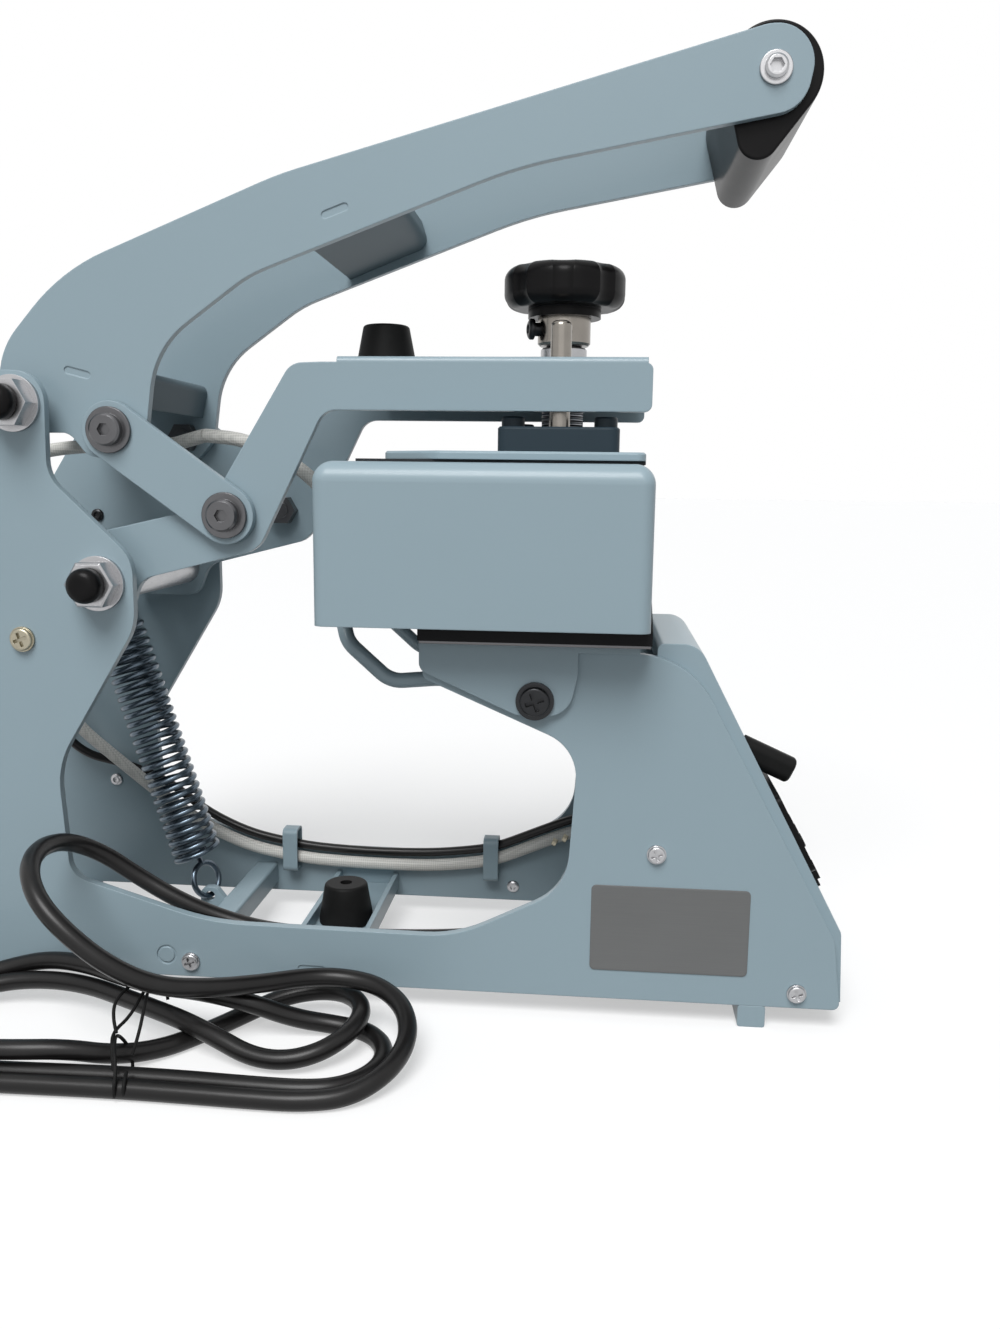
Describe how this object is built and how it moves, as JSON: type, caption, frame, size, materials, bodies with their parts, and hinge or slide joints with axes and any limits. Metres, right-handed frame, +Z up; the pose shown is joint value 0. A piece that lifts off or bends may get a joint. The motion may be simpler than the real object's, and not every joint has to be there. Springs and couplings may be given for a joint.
{
  "type": "cap heat press",
  "caption": "Swing-arm heat press with a curved platen for caps: toggle handle and links, heated head on a pressure screw, tension hoop, return spring and sloped control panel.",
  "frame": {"origin": "centre of the footprint of the machine without its cord, on the bench", "axes": "+Z up, the operator stands at -Y, the head is symmetric across X"},
  "size_m": [0.233, 0.4871, 0.419],
  "materials": {
    "frame_paint": "satin powder coat, light blue-grey",
    "black_plastic": "moulded, fine texture",
    "steel": "zinc plated",
    "brass": "yellow passivated",
    "aluminium": "bare cast, satin",
    "heater_coat": "dark non-stick coat",
    "silicone": "matte black silicone",
    "rubber": "matte",
    "gasket": "matte",
    "insulation": "fibre",
    "cord": "smooth",
    "sleeve": "woven glass sleeve",
    "board": "printed board",
    "window": "dark, gloss",
    "spring": "bright wire"
  },
  "bodies": {
    "base": {"left_base_plate": "frame_paint", "right_base_plate": "frame_paint", "foot_rails": "frame_paint", "plate_tie_rods": "frame_paint", "lower_crossbars": "frame_paint", "base_bumper": "rubber", "pivot_shafts": "steel", "pivot_nuts_washers": "steel", "pivot_caps": "black_plastic", "platen_saddle": "frame_paint", "saddle_screws": "steel", "lower_platen": "aluminium", "silicone_pad": "silicone", "front_cover": "frame_paint", "controller_housing": "black_plastic", "display_window": "window", "control_board": "board", "switch_body": "black_plastic", "tower_rear_panel": "frame_paint", "side_screws": "steel", "tie_bar_screws": "brass", "heater_cable": "sleeve", "sensor_cable": "cord", "clips_and_strain_relief": "black_plastic", "power_cord": "cord", "cord_hank": "cord", "power_plug": "cord", "return_spring": "spring"},
    "arm": {"arm_frame": "frame_paint", "arm_cross_bars": "steel", "arm_bumper": "rubber", "screw_nut_and_bushes": "steel", "lower_link_bolts": "steel", "heater_cable_arm": "sleeve", "heater_cable_loop": "sleeve"},
    "handle_sleeve": {"handle_pivot_tube": "frame_paint"},
    "handle": {"left_handle_plate": "frame_paint", "right_handle_plate": "frame_paint", "handle_braces": "frame_paint", "handle_grip": "black_plastic", "grip_rod": "steel"},
    "upper_bolts": {"upper_link_bolts": "steel"},
    "links": {"toggle_links": "frame_paint"},
    "head": {"head_cover": "frame_paint", "heating_platen": "heater_coat", "insulation_block": "insulation", "head_gasket": "gasket", "head_top_plate": "frame_paint", "spindle_flange": "frame_paint", "flange_screws": "steel", "guide_rods": "steel"},
    "knob": {"pressure_knob": "black_plastic", "knob_hub": "black_plastic", "pressure_spindle": "steel"},
    "hoop": {"tension_hoop": "frame_paint", "lever_grip": "rubber"},
    "set_button": {"button_set": "black_plastic"},
    "down_button": {"button_down": "black_plastic"},
    "up_button": {"button_up": "black_plastic"},
    "rocker": {"power_rocker": "black_plastic"}
  },
  "joints": [
    {"name": "arm_swing", "type": "hinge", "parent": "base", "child": "arm", "pos_m": [0, 0.1215, 0.191], "axis": [-1, 0, 0], "range_deg": [0, 35.3], "deforming": ["return_spring", "heater_cable_loop"]},
    {"name": "handle_open", "type": "hinge", "parent": "base", "child": "handle_sleeve", "pos_m": [0, 0.1555, 0.2675], "axis": [-1, 0, 0], "range_deg": [0, 65]},
    {"name": "handle_lock", "type": "hinge", "parent": "handle_sleeve", "child": "handle", "pos_m": [0, 0.1555, 0.2675], "axis": [-1, 0, 0], "range_deg": [-12, 0]},
    {"name": "link_top_turn", "type": "hinge", "parent": "handle", "child": "upper_bolts", "pos_m": [0, 0.117, 0.257], "axis": [-1, 0, 0], "range_deg": [-84.5, 0]},
    {"name": "link_lock_turn", "type": "hinge", "parent": "upper_bolts", "child": "links", "pos_m": [0, 0.117, 0.257], "axis": [-1, 0, 0], "range_deg": [0, 20.5]},
    {"name": "knob_turn", "type": "hinge", "parent": "head", "child": "knob", "pos_m": [0, -0.0775, 0.3], "axis": [0, 0, 1], "range_deg": [0, 900.5]},
    {"name": "head_slide", "type": "slide", "parent": "arm", "child": "head", "axis": [0, 0, 1], "range_m": [0, 0.005]},
    {"name": "hoop_lever", "type": "hinge", "parent": "base", "child": "hoop", "pos_m": [0, -0.0835, 0.15], "axis": [-1, 0, 0], "range_deg": [0, 12]},
    {"name": "set_press", "type": "slide", "parent": "base", "child": "set_button", "axis": [0, 0.8839, -0.4677], "range_m": [0, 0.0008], "stiffness_N_per_m": 400},
    {"name": "down_press", "type": "slide", "parent": "base", "child": "down_button", "axis": [0, 0.8839, -0.4677], "range_m": [0, 0.0008], "stiffness_N_per_m": 400},
    {"name": "up_press", "type": "slide", "parent": "base", "child": "up_button", "axis": [0, 0.8839, -0.4677], "range_m": [0, 0.0008], "stiffness_N_per_m": 400},
    {"name": "power_tilt", "type": "hinge", "parent": "base", "child": "rocker", "pos_m": [0, -0.20015, 0.05505], "axis": [0, 0.4677, 0.8839], "range_deg": [-8, 8]}
  ],
  "couplings": [
    {"joint": "handle_open", "follows": "arm_swing", "ratio": 1.8404},
    {"joint": "link_top_turn", "follows": "arm_swing", "ratio": -2.3874},
    {"joint": "link_lock_turn", "follows": "handle_lock", "ratio": -1.5608},
    {"joint": "knob_turn", "follows": "head_slide", "rad_per_m": 3141.6}
  ]
}
